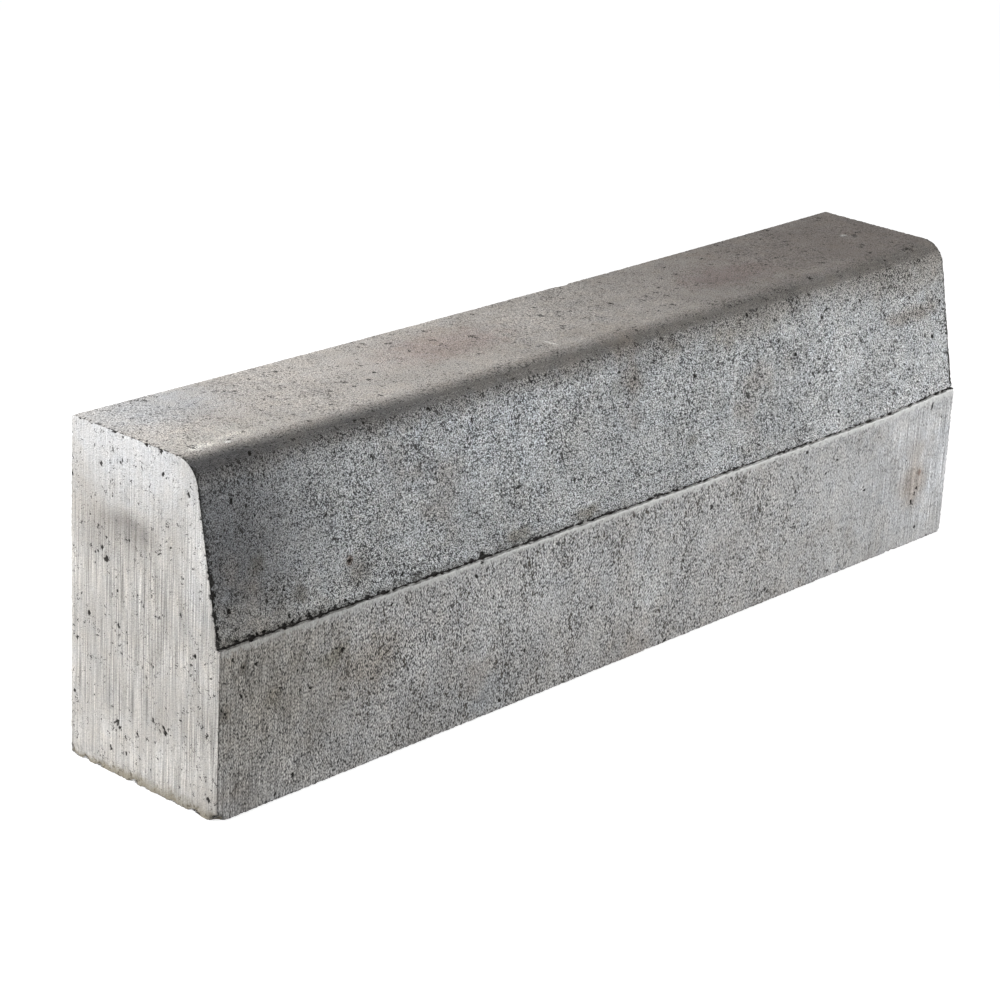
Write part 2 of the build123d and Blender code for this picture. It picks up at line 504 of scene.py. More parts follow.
def nearest_bowl(w, points, looked):
    """The depth that the nearest point digs here, and the same where it is narrow enough to be painted dark,
    for dirt and for the shade inside it.
    """
    spot = node(w.tree, "GeometryNodeSampleNearest", {"Geometry": points, "Sample Position": looked})

    def sampled(value, kind="FLOAT"):
        feeds = {"Geometry": points, "Value": value, "Index": spot}
        return node(w.tree, "GeometryNodeSampleIndex", feeds, data_type=kind)

    apart = vector_node(w.tree, "SUBTRACT", looked, sampled(w.place, "FLOAT_VECTOR"))
    tall = w.take("MAXIMUM", sampled(kept(w.tree, "pit_tall")), 0.3)
    squeeze = node(w.tree, "ShaderNodeCombineXYZ", {"X": 1.0, "Y": 1.0, "Z": w.take("DIVIDE", 1.0, tall)})
    away = vector_node(w.tree, "LENGTH", vector_node(w.tree, "MULTIPLY", apart, squeeze), out="Value")
    radius = sampled(kept(w.tree, "pit_radius"))
    reach = w.take("DIVIDE", away, w.take("MAXIMUM", radius, 0.0001))
    bowl = w.take("MULTIPLY", w.ramp(reach, 0.35, 1.0, 1.0, 0.0), sampled(kept(w.tree, "pit_depth")))
    return bowl, w.take("MULTIPLY", bowl, w.take("LESS_THAN", radius, 0.004))


def pits(w, skin):
    """How deep the pits are here, and how deep those that are painted dark, for dirt and for the shade inside
    them. A fine warp makes them ragged.
    """
    warp = node(w.tree, "ShaderNodeTexNoise", {"Scale": 330.0, "Detail": 4.0, "Roughness": 0.65}, out="Color")
    warp = scaled(w.tree, vector_node(w.tree, "SUBTRACT", warp, (0.5, 0.5, 0.5)), 0.0085)
    looked = vector_node(w.tree, "ADD", w.place, warp)
    pitted = dirt_and_shade = 0.0
    for points in (scattered_pits(w, skin), own_pits(w)):
        bowl, dirt_and_shade_bowl = nearest_bowl(w, points, looked)
        pitted = w.take("MAXIMUM", pitted, bowl)
        dirt_and_shade = w.take("MAXIMUM", dirt_and_shade, dirt_and_shade_bowl)
    return pitted, dirt_and_shade


# %% The torn side of the seam, and its groove
def torn_crumbs(w):
    """How far in the edge above the seam is torn. The cut goes straight in, so that it joins the groove."""
    above = w.ramp(w.at["Z"], w.take("ADD", w.ledge, 0.0004), w.take("ADD", w.ledge, 0.0010))
    from_end = w.take("SUBTRACT", 0.5, w.take("ABSOLUTE", w.along))
    near_end = w.ramp(from_end, 0.03, 0.22, 0.45, 0.0)
    biggest = w.take("ADD", w.ramp(w.cloud(34.0, 2.0, 7.0), 0.50, 0.72), near_end)
    ragged = w.ramp(w.cloud(210.0, 3.0, 10.0), 0.42, 0.68, 0.0004, 0.0028)
    tallest = w.take("MULTIPLY_ADD", w.take("MINIMUM", biggest, 1.0), 0.0026, ragged)
    tallest = w.take("MULTIPLY", tallest, w.ramp(w.along, -0.1, 0.3, 1.0, 0.6))
    near_seam = w.ramp(w.seam_gap, w.take("MULTIPLY", tallest, 0.6), tallest, 1.0, 0.0)
    torn = w.ramp(w.cloud(300.0, 2.0, 6.0), 0.44, 0.52)
    torn = w.take("MULTIPLY", w.take("MULTIPLY", torn, near_seam), above)
    return w.take("MULTIPLY", torn, w.given["Seam Bite"])


groove_reach = 0.0045


def smeared_groove(w):
    """How far in the groove goes, and how far out it is filled, which is mostly towards the far end."""
    lip = w.take("ADD", w.given["Step Width"], 0.0001)
    mouth = w.take("ADD", w.take("MULTIPLY", w.given["Width"], -0.5), lip)
    inside = w.take("MAXIMUM", w.take("SUBTRACT", w.at["Y"], mouth), 0.0)
    groove = [w.take("LESS_THAN", gap, groove_reach) for gap in (w.seam_gap, inside)]
    groove = w.take("MULTIPLY", w.take("MULTIPLY", *groove), w.take("SUBTRACT", 1.0, w.on_end))
    roof = w.take("ADD", w.ledge, w.given["Seam Height"])
    under_roof = w.ramp(w.at["Z"], roof, w.take("ADD", w.ledge, 0.0012), 1.0, 0.0)
    groove = w.take("MULTIPLY", w.take("MULTIPLY", groove, inside), under_roof)
    shut = w.take("MULTIPLY", w.ramp(w.along, 0.40, 0.47, 1.0, 0.0), w.along)
    shut = w.ramp(w.take("MULTIPLY_ADD", shut, 0.22, w.cloud(230.0, 1.0, 11.0)), 0.55, 0.60)
    return groove, w.take("MULTIPLY", w.take("MULTIPLY", groove, shut), -0.92)


# %% How far each point sinks
def lip_drop(w):
    """The lip under the seam isn't quite straight."""
    near_lip = w.ramp(w.seam_gap, 0.0, 0.0045, 1.0, 0.0)
    below = w.ramp(w.at["Z"], w.take("ADD", w.ledge, 0.0003), w.take("ADD", w.ledge, -0.0001))
    drop = w.take("MULTIPLY", w.take("MULTIPLY", near_lip, below), w.ramp(w.cloud(170.0, 4.0, 8.0), 0.4, 0.7))
    return w.take("MULTIPLY", drop, -0.0018)


def sag(w):
    """The fresh block sank a little more at mid-length than at its ends, in step with its height."""
    share = w.take("DIVIDE", w.take("MULTIPLY", w.at["X"], 2.0), w.given["Length"])
    bow = w.take("SUBTRACT", 1.0, w.take("MULTIPLY", share, share))
    up = w.take("DIVIDE", w.at["Z"], w.given["Height"])
    return w.take("MULTIPLY", w.take("MULTIPLY", bow, w.given["Sag"]), up)


def seam_wander(w):
    """The seam's line wanders up and down, and rises towards the far end."""
    rise = w.ramp(w.along, 0.36, 0.50, 0.0, 0.0046)
    wander = w.take("MULTIPLY_ADD", w.take("SUBTRACT", w.cloud(28.0, 3.0, 9.0), 0.5), 0.0024, rise)
    return w.take("MULTIPLY", w.ramp(w.seam_gap, 0.003, 0.012, 1.0, 0.0), wander)


# %% The tree that wears the block
def kept_inside(w, moved):
    """Places held inside the block's sizes."""
    long_half, wide_half = [w.take("MULTIPLY", w.given[side], 0.5) for side in ("Length", "Width")]
    least = node(w.tree, "ShaderNodeCombineXYZ", {"X": w.take("MULTIPLY", long_half, -1.0),
                                                  "Y": w.take("MULTIPLY", wide_half, -1.0), "Z": 0.0})
    most = node(w.tree, "ShaderNodeCombineXYZ", {"X": long_half, "Y": wide_half, "Z": w.given["Height"]})
    return vector_node(w.tree, "MINIMUM", vector_node(w.tree, "MAXIMUM", moved, least), most)


def wear_tree():
    tree, given, result = new_tree("kerb_wear", "GeometryNodeTree", [
        ("Geometry", "Geometry", None), ("Marks", "Object", None),
        ("Length", "Float", 1.0), ("Width", "Float", 0.18), ("Height", "Float", 0.3),
        ("Lower Face Height", "Float", 0.153), ("Step Width", "Float", 0.0025),
        ("Seam Height", "Float", 0.0007), ("Sag", "Float", 0.0025), ("Ripple", "Float", 0.0004),
        ("Arris Wear", "Float", 0.0010), ("Chip Depth", "Float", 0.0014), ("Seam Bite", "Float", 0.0022),
        ("Foot Slump", "Float", 0.0028), ("Pits Per Square Metre", "Float", 1100.0),
        ("Smallest Pit", "Float", 0.0007), ("Largest Pit", "Float", 0.0021), ("Seed", "Int", 7),
        ("Finish", "Material", None),
    ], [("Geometry", "Geometry")])
    w = wear_bench(tree, given)
    normal = node(tree, "GeometryNodeInputNormal")
    skin = stored(tree, given["Geometry"], "facing", normal, "FLOAT_VECTOR")

    # Straight into the skin: worn arrises, a slow ripple, the slumped foot and the pits
    slumped, lifted = crumbling_foot(w)
    pitted, dirt_and_shade = pits(w, skin)
    depth = w.take("MULTIPLY_ADD", w.cloud(16.0, 2.0, 3.0), given["Ripple"], worn_arrises(w))
    depth = w.take("MULTIPLY_ADD", slumped, given["Foot Slump"], depth)
    depth = w.take("ADD", depth, pitted)
    cut = scaled(tree, w.facing, w.take("MULTIPLY", depth, -1.0))

    # Straight in from the road side: the seam. Up or down: the lip, the sag and the foot's underside
    bite = torn_crumbs(w)
    groove, filled = smeared_groove(w)
    inward = node(tree, "ShaderNodeCombineXYZ", {"Y": w.take("ADD", bite, filled)})
    rise = w.take("ADD", w.take("SUBTRACT", lip_drop(w), sag(w)), seam_wander(w))
    upward = node(tree, "ShaderNodeCombineXYZ", {"Z": w.take("ADD", rise, lifted)})
    moved = vector_node(tree, "ADD", inward, upward)
    moved = vector_node(tree, "ADD", vector_node(tree, "ADD", w.place, cut), moved)

    # Hollows: the finish paints them near black, for dirt and for the shade inside them
    hollow = w.take("ADD", w.take("ADD", dirt_and_shade, bite), w.take("ADD", groove, filled))
    skin = stored(tree, skin, "hollow", hollow)
    skin = node(tree, "GeometryNodeSetPosition", {"Geometry": skin, "Position": kept_inside(w, moved)})
    skin = node(tree, "GeometryNodeSetShadeSmooth", {"Geometry": skin, "Shade Smooth": True})
    tree.links.new(finished(tree, skin, given["Finish"]), result["Geometry"])
    return tree


# %% Wear the block
def mark_points():
    """The marks as loose vertices, with a radius, a depth and a stretch each."""
    mesh = bpy.data.meshes.new("marks")
    mesh.from_pydata([tuple(p[:3]) for p in marks], [], [])
    for column, name in ((3, "pit_radius"), (4, "pit_depth"), (5, "pit_tall")):
        values = marks[:, column].astype(np.float32)
        mesh.attributes.new(name, "FLOAT", "POINT").data.foreach_set("value", values)
    points = bpy.data.objects.new("marks", mesh)
    bpy.context.scene.collection.objects.link(points)
    return points


own_marks = mark_points()
put_on(kerb, wear_tree(), Marks=own_marks, Length=length, Width=base_width, Height=height,
       Lower_Face_Height=lower_face_height, Step_Width=step_width, Seam_Height=seam_height, Finish=concrete)
made_plain(kerb)
bpy.data.objects.remove(own_marks)
print("worn:", len(kerb.data.vertices), "vertices")

# %% [markdown]
# ## Thinning the mesh
#
# The even mesh has far more faces than flat concrete needs. Decimate's Collapse takes faces away where that
# changes the shape least, so the pits, the seam and the arrises keep theirs.

# %% Thin it
most_triangles = 190_000
triangles = sum(len(p.vertices) - 2 for p in kerb.data.polygons)
thin = kerb.modifiers.new("thin", "DECIMATE")
thin.ratio = most_triangles / triangles
thin.use_collapse_triangulate = True
made_plain(kerb)
print("triangles:", triangles, "thinned to", len(kerb.data.polygons))

# %% [markdown]
# ## A flat map of the skin
#
# A viewer that can't run the material reads its colours from pictures, laid on by a flat map of the skin.
# The wrapped sheet gives a good one: length along U and the way round the section along V, with the two ends
# above it. Nothing overlaps, and a centimetre of skin gets the same share of the map everywhere. The
# material doesn't read it.

# %% Lay the skin flat
island_gap = 0.02
map_border_share = 0.002


def vertex_values(mesh, name, field, width):
    """An attribute of every vertex, as rows of numbers."""
    values = np.empty(len(mesh.vertices) * width, np.float32)
    mesh.attributes[name].data.foreach_get(field, values)
    return values.reshape(-1, width)


def flat_map(piece):
    """Lays the skin on a map, and returns the way round the section."""
    mesh = piece.data
    corners = np.empty(len(mesh.loops), np.int32)
    mesh.loops.foreach_get("vertex_index", corners)
    corners = corners.reshape(-1, 3)
    spot = vertex_values(mesh, "mould_place", "vector", 3)[corners]
    facing = vertex_values(mesh, "facing", "vector", 3)[corners]
    way = vertex_values(mesh, "way_round", "value", 1)[corners, 0]
    girth = way.max()

    # Faces across the start of the way round are drawn together on its far side.
    across = (way.max(axis=1) - way.min(axis=1) > girth / 2)[:, None] & (way < girth / 2)
    flat = np.stack([spot[..., 0] + length / 2, way + across * girth], axis=-1)
    turned = facing[..., 0].mean(axis=1)
    for sign, start in ((-1, 0.0), (1, height + island_gap)):
        end = turned * sign > 0.7
        u, v = spot[end][..., 2] + start, spot[end][..., 1] + base_width / 2 + girth + island_gap
        flat[end] = np.stack([u, v], axis=-1)
    flat = map_border_share + flat * (1 - 2 * map_border_share) / flat.max()
    mesh.uv_layers.new(name="OFBake").data.foreach_set("uv", flat.ravel().astype(np.float32))
    return girth


print(f"way round the section: {flat_map(kerb):.3f} m")

# %% [markdown]
# ## The finish of the concrete
#
# One mix gives four skins. The end faces slid against steel and carry a pale laitance with vertical drag
# lines. The top was struck off and is fine and slightly warm. The batter under the press shoe stayed open:
# salt-and-pepper sand, with dark holes where grains tore out. The lower face is between them. The material
# reads the resting normal, which the wear tree kept in the mesh, to know which skin a point belongs to, and
# object coordinates for every pattern.
#
# What the skins share, the grain, pinholes, drag lines, soft stains and a single placed spot, are node
# groups that put out masks and heights. A colour is written as it looks on a screen and turned into the
# linear value that shaders use.

# %% Colours and patterns
def paint(red, green, blue):
    """A screen colour of 0 to 255 as a linear one."""
    part = [c / 255 for c in (red, green, blue)]
    return [c / 12.92 if c <= 0.04045 else ((c + 0.055) / 1.055) ** 2.4 for c in part] + [1.0]


def mixed(tree, factor, a, b):
    """Two colours mixed by a factor."""
    return node(tree, "ShaderNodeMix", {0: factor, 6: a, 7: b}, out=2, data_type="RGBA")


def noise(tree, vector, scale, detail, roughness, seed):
    """Noise from 0 to 1 at so many waves per metre. Each seed looks at another part of the pattern."""
    shift = seed if isinstance(seed, bpy.types.NodeSocket) else (seed, seed, seed)
    vector = vector_node(tree, "MULTIPLY_ADD", shift, (1.7, 2.3, 3.1), vector)
    feeds = {"Vector": vector, "Scale": scale, "Detail": detail, "Roughness": roughness}
    return node(tree, "ShaderNodeTexNoise", feeds)


def signed(tree, value, gain):
    """Noise turned into a swing about zero."""
    return math_node(tree, "MULTIPLY", math_node(tree, "SUBTRACT", value, 0.5), gain)


# %% Grain
def grain_group():
    tree, given, result = new_tree("concrete_grain", "ShaderNodeTree",
                                   [("Vector", "Vector", None), ("Tears", "Float", 0.5)],
                                   [("Grain", "Float"), ("Tear", "Float")])
    at = given["Vector"]
    fine = signed(tree, noise(tree, at, 900.0, 0.0, 0.5, 1.0), 9.5)
    crowd = noise(tree, at, 34.0, 1.0, 0.6, 5.0)
    grown = noise(tree, at, 410.0, 1.0, 0.6, 2.0)
    grown = math_node(tree, "MULTIPLY_ADD", signed(tree, crowd, 0.22), -1.0, grown)
    specks = ramp_between(tree, grown, 0.43, 0.33)
    grain = math_node(tree, "MULTIPLY_ADD", specks, -2.5, math_node(tree, "ADD", fine, 0.22))

    # Ragged holes where a grain fell out, in loose crowds
    reach = math_node(tree, "MULTIPLY", given["Tears"], 0.2)
    tears = noise(tree, at, 330.0, 2.0, 0.75, 8.0)
    tears = math_node(tree, "ADD", math_node(tree, "ADD", tears, reach), signed(tree, crowd, 0.30))
    tree.links.new(grain, result["Grain"])
    tree.links.new(ramp_between(tree, tears, 0.765, 0.795), result["Tear"])
    return tree


# %% Pinholes
def pinhole_group():
    tree, given, result = new_tree("pinholes", "ShaderNodeTree",
                                   [("Vector", "Vector", None), ("Per Metre", "Float", 120.0),
                                    ("Share", "Float", 0.3), ("Radius", "Float", 0.0012)],
                                   [("Hole", "Float")])
    p = bench_for(tree)
    at = given["Vector"]
    shift = noise(tree, at, 480.0, 1.0, 0.6, 9.0).node.outputs["Color"]
    shift = vector_node(tree, "MULTIPLY_ADD", shift, (0.010, 0.010, 0.010), at)
    cell = {"Vector": shift, "Scale": given["Per Metre"], "Randomness": 1.0}
    cell = node(tree, "ShaderNodeTexVoronoi", cell).node.outputs
    chance = node(tree, "ShaderNodeSeparateColor", {0: cell["Color"]}).node.outputs
    away = p.take("DIVIDE", cell["Distance"], given["Per Metre"])
    spread = p.take("MULTIPLY_ADD", p.take("POWER", chance["Green"], 3.0), 1.0, 0.5)
    reach = p.take("MULTIPLY", given["Radius"], spread)
    hole = p.ramp(away, p.take("MULTIPLY", reach, 0.55), reach, 1.0, 0.0)
    crowd = p.ramp(noise(tree, at, 40.0, 1.0, 0.6, 10.0), 0.42, 0.66, 0.12, 2.6, "LINEAR")
    picked = p.take("LESS_THAN", chance["Red"], p.take("MULTIPLY", given["Share"], crowd))
    tree.links.new(p.take("MULTIPLY", hole, picked), result["Hole"])
    return tree


# %% Drag lines, soft stains and placed spots
def drag_group():
    tree, given, result = new_tree("mould_drag", "ShaderNodeTree", [("Vector", "Vector", None)],
                                   [("Line", "Float")])
    fine, wide = [vector_node(tree, "MULTIPLY", given["Vector"], (1.0, 1.0, z)) for z in (0.03, 0.05)]
    fine = signed(tree, noise(tree, fine, 680.0, 0.0, 0.5, 6.0), 6.6)
    wide = signed(tree, noise(tree, wide, 210.0, 1.0, 0.7, 7.0), 0.3)
    tree.links.new(math_node(tree, "ADD", fine, wide), result["Line"])
    return tree


def cloud_group():
    tree, given, result = new_tree("soft_stains", "ShaderNodeTree",
                                   [("Vector", "Vector", None), ("Size", "Float", 12.0),
                                    ("Seed", "Float", 0.0)],
                                   [("Cloud", "Float"), ("Patch", "Float")])
    cloud = noise(tree, given["Vector"], given["Size"], 3.0, 0.6, given["Seed"])
    tree.links.new(signed(tree, cloud, 2.0), result["Cloud"])
    tree.links.new(ramp_between(tree, cloud, 0.56, 0.72), result["Patch"])
    return tree


def spot_group():
    tree, given, result = new_tree("placed_spot", "ShaderNodeTree",
                                   [("Vector", "Vector", None), ("Centre", "Vector", None),
                                    ("Size", "Vector", (0.01, 0.01, 0.01)), ("Wobble", "Float", 0.0),
                                    ("Raggedness", "Float", 0.5)],
                                   [("Spot", "Float")])
    away = vector_node(tree, "SUBTRACT", given["Vector"], given["Centre"])
    away = vector_node(tree, "LENGTH", vector_node(tree, "DIVIDE", away, given["Size"]), out="Value")
    away = math_node(tree, "MULTIPLY_ADD", given["Wobble"], given["Raggedness"], away)
    tree.links.new(ramp_between(tree, away, 0.2, 1.0, 1.0, 0.0), result["Spot"])
    return tree


concrete_grain, pinholes, mould_drag = grain_group(), pinhole_group(), drag_group()
soft_stains, placed_spot = cloud_group(), spot_group()
print("node groups:", [g.name for g in bpy.data.node_groups])

# %% [markdown]
# ## Placed stains, and patches of painted light and shade
#
# Rust, damp and grime sit where they sit on this very block, so they are placed one by one: a centre, a reach
# and a colour each, on one skin. A shared wobble makes their borders ragged, so that none of them reads as an
# ellipse.
# The broad lighter and darker patches on the road side and the top, and the dark band under the nose, are
# partly painted light and shade, as the light falls along the block.

# %% Stains of this block, and patches of painted light and shade
# Placed stains and patches of painted light and shade, by skin: centre and reach in millimetres, colour,
# strength, raggedness
stains_and_painted_light = {
    "road": [
        # The broad patches, darker at the near end and lighter along the middle and the far end, are partly
        # painted light and shade, as the light falls along the block, and partly the block's own tone
        ((-500, -74, 240), (165, 50, 170), (97, 98, 100), 0.88, 0.25),
        ((-140, -66, 250), (250, 34, 70), (180, 183, 186), 0.80, 0.35),
        ((320, -74, 222), (150, 30, 36), (182, 184, 186), 0.55, 0.50),
        ((470, -66, 280), (240, 30, 34), (130, 126, 120), 0.65, 0.35),
        ((190, -62, 280), (120, 20, 24), (130, 126, 119), 0.60, 0.60),
        ((60, -62, 278), (60, 20, 18), (126, 123, 116), 0.30, 0.60),
        ((-70, -62, 284), (100, 20, 14), (130, 128, 124), 0.35, 0.50),
        ((440, -70, 240), (70, 14, 12), (126, 117, 106), 0.55, 0.60),
        ((-470, -90, 110), (170, 20, 130), (142, 138, 131), 0.75, 0.35),
        ((-40, -90, 105), (290, 20, 85), (184, 185, 186), 0.50, 0.35),
        ((310, -90, 95), (130, 20, 130), (182, 183, 184), 0.55, 0.40),
        ((490, -90, 90), (190, 20, 130), (192, 193, 195), 0.90, 0.25),
        ((443, -90, 66), (34, 12, 34), (152, 138, 124), 0.60, 0.35),
        ((452, -90, 76), (5, 6, 6), (96, 76, 66), 0.80, 0.40),
        ((355, -90, 82), (8, 12, 10), (196, 196, 196), 0.60, 0.40),
        ((-340, -84, 176), (22, 12, 20), (112, 104, 92), 0.55, 0.50),
        ((-349, -81, 187), (6, 8, 6), (92, 70, 56), 0.75, 0.40),
        ((-372, -90, 112), (26, 12, 14), (112, 108, 92), 0.55, 0.60),
        ((-330, -90, 92), (50, 12, 40), (132, 122, 108), 0.50, 0.60),
        ((-440, -90, 95), (12, 12, 16), (104, 98, 84), 0.45, 0.60),
        ((-150, -85, 160), (26, 12, 10), (104, 98, 84), 0.65, 0.60),
        ((-60, -85, 159), (24, 12, 9), (110, 104, 90), 0.60, 0.60),
        ((150, -60, 268), (30, 14, 18), (112, 106, 94), 0.50, 0.70),
        ((20, -64, 262), (22, 14, 20), (116, 110, 100), 0.45, 0.70),
        ((-60, -70, 240), (60, 30, 60), (142, 140, 136), 0.35, 0.60),
        ((75, -62, 282), (12, 10, 10), (86, 80, 68), 0.55, 0.70),
        ((-5, -66, 258), (12, 10, 12), (100, 96, 84), 0.45, 0.70),
        ((92, -80, 191), (11, 10, 10), (96, 92, 78), 0.50, 0.70),
        ((-448, -77, 207), (14, 10, 14), (78, 72, 58), 0.50, 0.70),
        ((-407, -83, 175), (14, 10, 14), (78, 72, 58), 0.50, 0.70),
        ((-474, -90, 130), (6, 6, 8), (66, 60, 50), 0.60, 0.70),
        ((-493, -90, 95), (10, 6, 12), (84, 76, 62), 0.55, 0.80),
        ((30, -90, 60), (30, 12, 40), (196, 197, 197), 0.50, 0.60),
        ((-180, -90, 20), (60, 12, 30), (160, 164, 168), 0.40, 0.60),
    ],
    "end": [
        ((-500, 20, 290), (40, 130, 70), (213, 213, 214), 0.90, 0.20),
        ((-500, -66, 230), (40, 30, 110), (209, 208, 207), 0.75, 0.25),
        ((-500, 88, 140), (40, 22, 170), (207, 204, 200), 0.60, 0.25),
        ((-500, 0, 36), (40, 150, 34), (207, 204, 200), 0.70, 0.30),
        ((-500, 19, 221), (40, 48, 21), (134, 130, 126), 0.85, 0.25),
        ((-500, 36, 206), (40, 60, 28), (166, 163, 159), 0.55, 0.30),
        ((-500, -20, 155), (40, 16, 44), (168, 165, 160), 0.45, 0.30),
    ],
    "top": [
        # The broad patches, darker over the far half of the top and lighter at its near end, are partly
        # painted light and shade, as the light falls off along the top, and partly its own tone
        ((500, 20, 300), (520, 160, 30), (146, 138, 133), 0.90, 0.30),
        ((-440, 60, 300), (110, 60, 30), (168, 169, 171), 0.80, 0.30),
        ((-440, -22, 300), (110, 26, 30), (184, 180, 174), 0.70, 0.30),
        ((-130, 30, 300), (110, 50, 30), (165, 150, 145), 0.65, 0.50),
        ((240, 10, 300), (90, 40, 30), (140, 126, 122), 0.60, 0.50),
        ((-470, -33, 300), (26, 7, 14), (222, 219, 212), 0.70, 0.30),
        ((-434, -27, 300), (24, 5, 14), (218, 214, 206), 0.60, 0.30),
        ((-448, -38, 299), (5, 3, 6), (240, 240, 238), 0.80, 0.30),
        ((-50, 0, 300), (3.5, 13, 12), (196, 190, 186), 0.50, 0.30),
        ((-50, -24, 300), (3.5, 13, 12), (226, 224, 222), 0.85, 0.30),
        ((54, -38, 299), (22, 9, 14), (186, 182, 177), 0.60, 0.60),
        ((441, 22, 300), (6, 5, 4), (220, 219, 217), 0.90, 0.15),
    ],
    "nose": [
        # Darker towards the near end: partly grime, partly painted shade under the nose
        ((-500, -54, 293), (180, 16, 28), (82, 82, 84), 0.86, 0.15),
        ((-300, -53, 294), (130, 14, 18), (99, 99, 100), 0.60, 0.40),
    ],
}
print("placed stains:", {skin: len(spots) for skin, spots in stains_and_painted_light.items()})

# %% [markdown]
# ## Painting the concrete
#
# The colour is built up as the real skin was: paste first, then stains, clouds and grain, then the marks of
# the mould, and dirt last. Part of it is painted light, mixed in with real dirt and tone: broad lighter and
# darker patches as the light falls along the block, shade under the nose, in the pits and the seam and along
# the arrises, and a highlight on the lip under the seam. Each step takes the colour so far and hands it on.
# Colour carries most of the look, because the light is soft, and a fine bump from the same grain and drag
# lines lets it catch the light at an angle.

# %% What every step of the finish reads
def use(tree, group, out=0, **values):
    """Places a group and returns one of its outputs."""
    made = tree.nodes.new("ShaderNodeGroup")
    made.node_tree = group
    for name, value in values.items():
        if isinstance(value, bpy.types.NodeSocket):
            tree.links.new(value, made.inputs[name.replace("_", " ")])
        else:
            made.inputs[name.replace("_", " ")].default_value = value
    return made.outputs[out]


def finish_bench(tree):
    """The place on the block and in its mould, the resting normal, the gaps, and two ways to join masks."""
    c = bench_for(tree)

    def attribute(name, out="Fac"):
        return node(tree, "ShaderNodeAttribute", out=out, attribute_name=name)

    def both(*masks):
        made = masks[0]
        for mask in masks[1:]:
            made = c.take("MULTIPLY", made, mask)
        return made

    def other(mask):
        return c.take("SUBTRACT", 1.0, mask)

    def over(colour, mask, tint):
        """The colour with a tint laid over it where the mask is."""
        return mixed(tree, mask, colour, paint(*tint))

    c.both, c.other, c.over = both, other, over
    c.at = node(tree, "ShaderNodeTexCoord", out="Object")
    c.mould = attribute("mould_place", "Vector")
    c.x, c.y, c.z = vector_parts(tree, c.mould)
    c.right, c.back, c.up = vector_parts(tree, attribute("facing", "Vector"))
    c.seam_gap, c.hollow = attribute("seam_gap"), attribute("hollow")
    c.from_end = c.take("SUBTRACT", 0.5, c.take("ABSOLUTE", c.x))
    c.wobble = signed(tree, noise(tree, c.at, 70.0, 4.0, 0.65, 8.0), 2.0)
    c.broken = noise(tree, c.at, 230.0, 2.0, 0.6, 10.0)
    c.cloud = use(tree, soft_stains, Vector=c.at, Size=16.0, Seed=1.0)
    c.patch = use(tree, soft_stains, Vector=c.at, Size=11.0, Seed=2.0)
    return c


def find_skins(c):
    """Which skin a point belongs to, and where the skins near the ends and under the seam are smoother."""
    c.on_end = c.ramp(c.take("ABSOLUTE", c.right), 0.6, 0.85)
    c.on_top = c.ramp(c.up, 0.86, 0.99)
    c.on_road = c.ramp(c.take("MULTIPLY", c.back, -1.0), 0.5, 0.8)
    c.on_nose = c.both(c.ramp(c.y, -0.0325, -0.053), c.other(c.on_end),
                       c.ramp(c.take("MULTIPLY_ADD", c.wobble, 0.009, c.z), 0.272, 0.2960))
    c.upper = c.both(c.on_road, c.ramp(c.y, -0.0886, -0.0880))
    c.lower = c.both(c.on_road, c.other(c.upper))
    c.smooth_lip = c.both(c.lower, c.ramp(c.seam_gap, 0.004, 0.008, 1.0, 0.0))
    c.smooth_far = c.both(c.lower, c.ramp(c.x, 0.15, 0.42))
    c.smooth_near = c.both(c.on_road, c.ramp(c.x, -0.30, -0.46))


# %% Paste, placed stains and clouds
def paste_colour(c):
    """The paste's own colour on each skin, with its placed stains and its broad patches, which are partly
    painted light and shade.
    """
    colour = mixed(c.tree, c.on_top, paint(168, 167, 166), paint(177, 172, 167))
    colour = c.over(colour, c.upper, (168, 170, 171))
    colour = c.over(colour, c.on_end, (188, 185, 181))
    skins = {"road": c.ramp(c.back, -0.2, -0.45), "end": c.on_end, "top": c.ramp(c.up, 0.5, 0.8),
             "nose": c.on_nose}
    for skin, spots in stains_and_painted_light.items():
        if skin == "nose":
            # The nose band is laid darker: partly darker, dirtier paste, partly painted shade under the
            # rounded nose
            colour = c.over(colour, c.both(c.on_nose, 0.90), (121, 117, 112))
        for centre, size, tint, strength, ragged in spots:
            centre, size = [[part / 1000 for part in place] for place in (centre, size)]
            spot = use(c.tree, placed_spot, Vector=c.mould, Centre=centre, Size=size, Wobble=c.wobble,
                       Raggedness=ragged)
            colour = c.over(colour, c.both(spot, skins[skin], strength), tint)
    return colour


def clouded(c, colour):
    """Soft clouds, lighter and darker, warmer and cooler."""
    swing = c.mix(c.on_end, 0.26, 0.14)
    colour = scaled(c.tree, colour, c.take("MULTIPLY_ADD", c.cloud, swing, 1.0))
    tinted = c.other(c.both(c.on_end, 0.6))
    colour = c.over(colour, c.both(c.patch.node.outputs["Patch"], tinted, 0.36), (154, 143, 132))
    hue = c.ramp(noise(c.tree, c.at, 60.0, 2.0, 0.6, 3.0), 0.25, 0.75, kind="LINEAR")
    cool, warm = (0.984, 1.0, 1.022, 1.0), (1.016, 1.0, 0.975, 1.0)
    return vector_node(c.tree, "MULTIPLY", colour, mixed(c.tree, hue, cool, warm))


